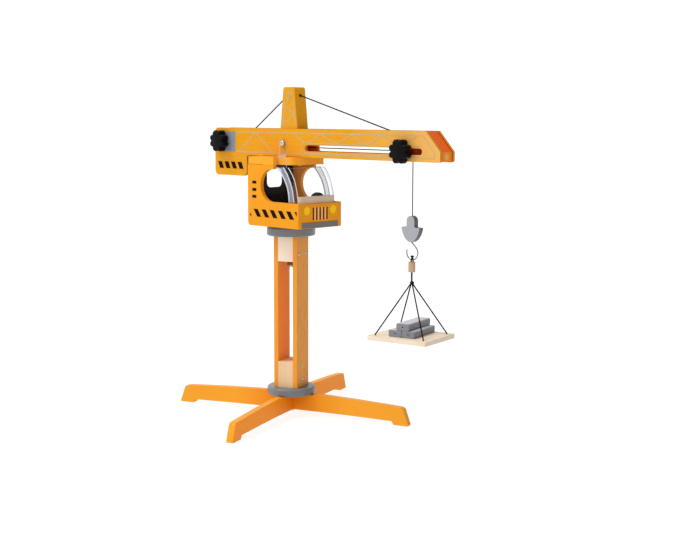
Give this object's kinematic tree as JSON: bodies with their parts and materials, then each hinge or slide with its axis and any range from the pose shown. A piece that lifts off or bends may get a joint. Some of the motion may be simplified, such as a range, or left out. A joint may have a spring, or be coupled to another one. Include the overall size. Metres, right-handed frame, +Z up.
{
  "type": "toy tower crane",
  "caption": "Wooden toy tower crane on a crossed base, with a turning cab and jib, winch, sliding trolley, hook and a sling that lifts a loaded pallet.",
  "frame": {"origin": "in the plane of the four feet, under the middle of the crane's box; the mast's axis is at X -66.1 mm", "axes": "+Z up along the mast, +X out along the jib at rest, +Y to the far side of the jib"},
  "size_m": [0.5498, 0.4176, 0.56],
  "materials": {
    "orange_paint": "satin",
    "deep_orange_paint": "satin",
    "grey_paint": "satin",
    "brick_paint": "satin",
    "pale_wood": "satin",
    "pallet_wood": "satin",
    "black_paint": "satin",
    "black_plastic": "gloss",
    "black_cord": "matte",
    "zinc_steel": "satin",
    "hook_steel": "gloss",
    "clear_plastic": "gloss"
  },
  "bodies": {
    "base": {"leg_board_a": "orange_paint", "leg_board_b": "orange_paint", "hub_screw": "zinc_steel", "base_disc": "grey_paint", "mast_block_bottom": "pale_wood", "mast_block_top": "pale_wood", "mast_panel_left": "orange_paint", "mast_panel_right": "orange_paint", "mast_screws": "zinc_steel", "slew_disc": "grey_paint", "pivot_bolt": "zinc_steel", "pivot_washer": "zinc_steel", "pivot_nut": "zinc_steel"},
    "upper": {"slew_washer": "pale_wood", "cab_floor": "pale_wood", "cab_side_near": "orange_paint", "cab_side_far": "orange_paint", "cab_back": "black_paint", "cab_front": "orange_paint", "cab_dash": "pale_wood", "driver_seat": "black_paint", "steering_pin": "zinc_steel", "roof": "orange_paint", "roof_screws": "zinc_steel", "visor_screws": "zinc_steel", "jib_panel_near": "orange_paint", "jib_panel_far": "orange_paint", "jib_tip_block": "deep_orange_paint", "jib_tail_block": "deep_orange_paint", "jib_anchor_rear": "deep_orange_paint", "jib_anchor_front": "deep_orange_paint", "mast_peak": "orange_paint", "stay_cord": "black_cord"},
    "steering": {"steering_wheel": "black_paint"},
    "visor": {"visor": "clear_plastic"},
    "winch": {"winch_axle": "pale_wood", "winch_drum": "pale_wood", "hoist_coil": "black_cord", "winch_knob": "black_plastic", "winch_cap": "pale_wood"},
    "trolley": {"trolley_block": "deep_orange_paint", "trolley_bolt": "zinc_steel", "trolley_bush": "pale_wood", "trolley_guide": "pale_wood", "hoist_rope_run": "black_cord"},
    "clamp": {"trolley_knob": "black_plastic"},
    "rope": {"hoist_rope_drop": "black_cord"},
    "hook": {"hook_block": "grey_paint", "hook_wire": "hook_steel"},
    "sling": {"sling_loop": "black_cord", "sling_bead": "pale_wood"},
    "load": {"sling_cords": "black_cord", "sling_knots": "black_cord", "pallet": "pallet_wood"},
    "bricks_lower": {"brick_left": "brick_paint", "brick_right": "brick_paint"},
    "brick_upper": {"brick_top": "brick_paint"}
  },
  "joints": [
    {"name": "slew", "type": "hinge", "parent": "base", "child": "upper", "pos_m": [-0.06611, 0, 0.326], "axis": [0, 0, 1], "continuous": true},
    {"name": "steer", "type": "hinge", "parent": "upper", "child": "steering", "pos_m": [-0.01311, 0.01, 0.3685], "axis": [1, 0, 0], "continuous": true},
    {"name": "visor_tilt", "type": "hinge", "parent": "upper", "child": "visor", "pos_m": [-0.06611, 0, 0.466], "axis": [0, -1, 0], "range_deg": [0, 18]},
    {"name": "winch_turn", "type": "hinge", "parent": "upper", "child": "winch", "pos_m": [-0.22211, 0, 0.468], "axis": [0, 1, 0], "range_deg": [-1236, 622]},
    {"name": "trolley_slide", "type": "slide", "parent": "upper", "child": "trolley", "axis": [1, 0, 0], "range_m": [-0.17, 0.025], "deforming": ["hoist_rope_run"]},
    {"name": "clamp_turn", "type": "hinge", "parent": "trolley", "child": "clamp", "pos_m": [0.20289, -0.026, 0.4595], "axis": [0, -1, 0], "range_deg": [0, 360]},
    {"name": "rope_swing", "type": "hinge", "parent": "trolley", "child": "rope", "pos_m": [0.20664, 0, 0.4514], "axis": [0, 1, 0], "range_deg": [-15, 15]},
    {"name": "hoist", "type": "slide", "parent": "rope", "child": "hook", "axis": [0, 0, 1], "range_m": [-0.155, 0.078], "deforming": ["hoist_rope_drop"]},
    {"name": "sling_swing", "type": "hinge", "parent": "hook", "child": "sling", "pos_m": [0.20714, 0, 0.2912], "axis": [1, 0, 0], "range_deg": [-15, 15]},
    {"name": "load_turn", "type": "hinge", "parent": "sling", "child": "load", "pos_m": [0.20664, 0, 0.272], "axis": [0, 0, 1], "continuous": true},
    {"name": "bricks_lift", "type": "slide", "parent": "load", "child": "bricks_lower", "axis": [0, 0, 1], "range_m": [0, 0.015]},
    {"name": "top_brick_lift", "type": "slide", "parent": "bricks_lower", "child": "brick_upper", "axis": [0, 0, 1], "range_m": [0, 0.015]}
  ],
  "couplings": [
    {"joint": "winch_turn", "follows": "hoist", "rad_per_m": 138.89}
  ]
}
